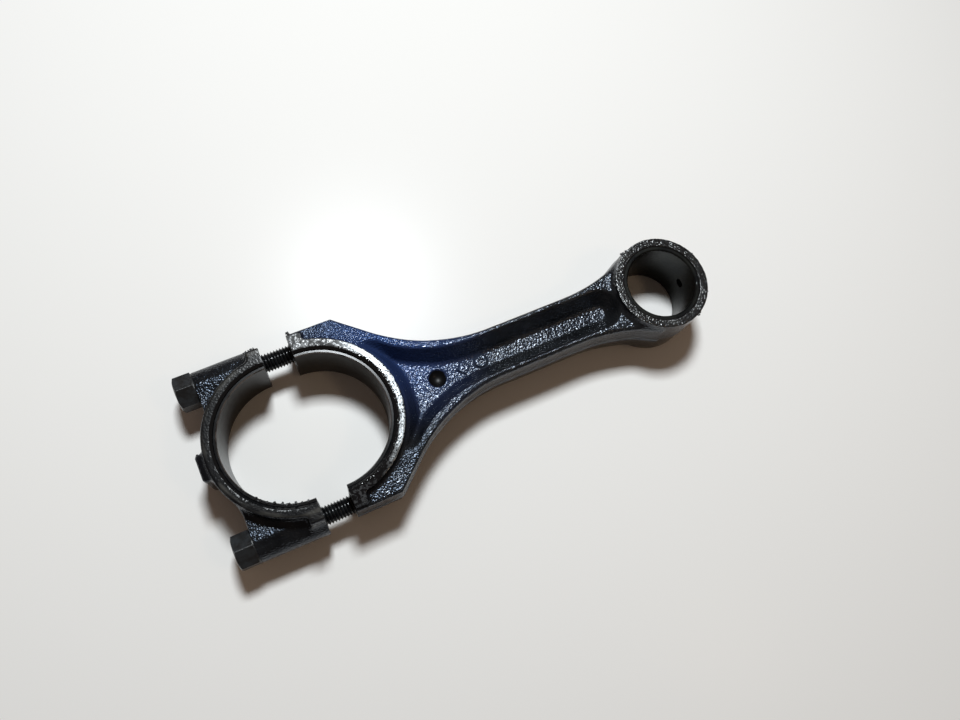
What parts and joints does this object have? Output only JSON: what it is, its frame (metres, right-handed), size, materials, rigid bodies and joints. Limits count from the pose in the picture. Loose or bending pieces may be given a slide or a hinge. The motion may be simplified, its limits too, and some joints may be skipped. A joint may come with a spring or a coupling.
{
  "type": "engine connecting rod",
  "caption": "I-section connecting rod with split big end, bolted cap drawn back on its bolts, bearing shells and bushed small end.",
  "frame": {"origin": "centre of the big-end bore at mid-thickness, on the rod's joint face", "axes": "+X along the shank to the small end, +Z along both bores, the rod lying flat"},
  "size_m": [0.2224, 0.0808, 0.029],
  "materials": {
    "forged_steel": "forged skin under black oil, machined faces worn bright",
    "bearing_lining": "fine bored, oily grey",
    "bush_bronze": "bored bronze under dark oil",
    "bolt_steel": "black oxide, oily"
  },
  "bodies": {
    "rod": {"rod_forging": "forged_steel", "rod_bearing_shell": "bearing_lining", "small_end_bush": "bush_bronze"},
    "cap": {"cap_forging": "forged_steel", "cap_bearing_shell": "bearing_lining"},
    "left_bolt": {"left_cap_bolt": "bolt_steel"},
    "right_bolt": {"right_cap_bolt": "bolt_steel"}
  },
  "joints": [
    {"name": "left_bolt_turn", "type": "hinge", "parent": "cap", "child": "left_bolt", "pos_m": [-0.039, 0.0331, 0], "axis": [-1, 0, 0], "range_deg": [-3456.1, 1152.1]},
    {"name": "right_bolt_turn", "type": "hinge", "parent": "cap", "child": "right_bolt", "pos_m": [-0.039, -0.0331, 0], "axis": [-1, 0, 0], "range_deg": [-3456.1, 1152.1]},
    {"name": "cap_slide", "type": "slide", "parent": "rod", "child": "cap", "axis": [-1, 0, 0], "range_m": [-0.012, 0.004]}
  ],
  "couplings": [
    {"joint": "left_bolt_turn", "follows": "cap_slide", "rad_per_m": 5026.5},
    {"joint": "right_bolt_turn", "follows": "cap_slide", "rad_per_m": 5026.5}
  ]
}
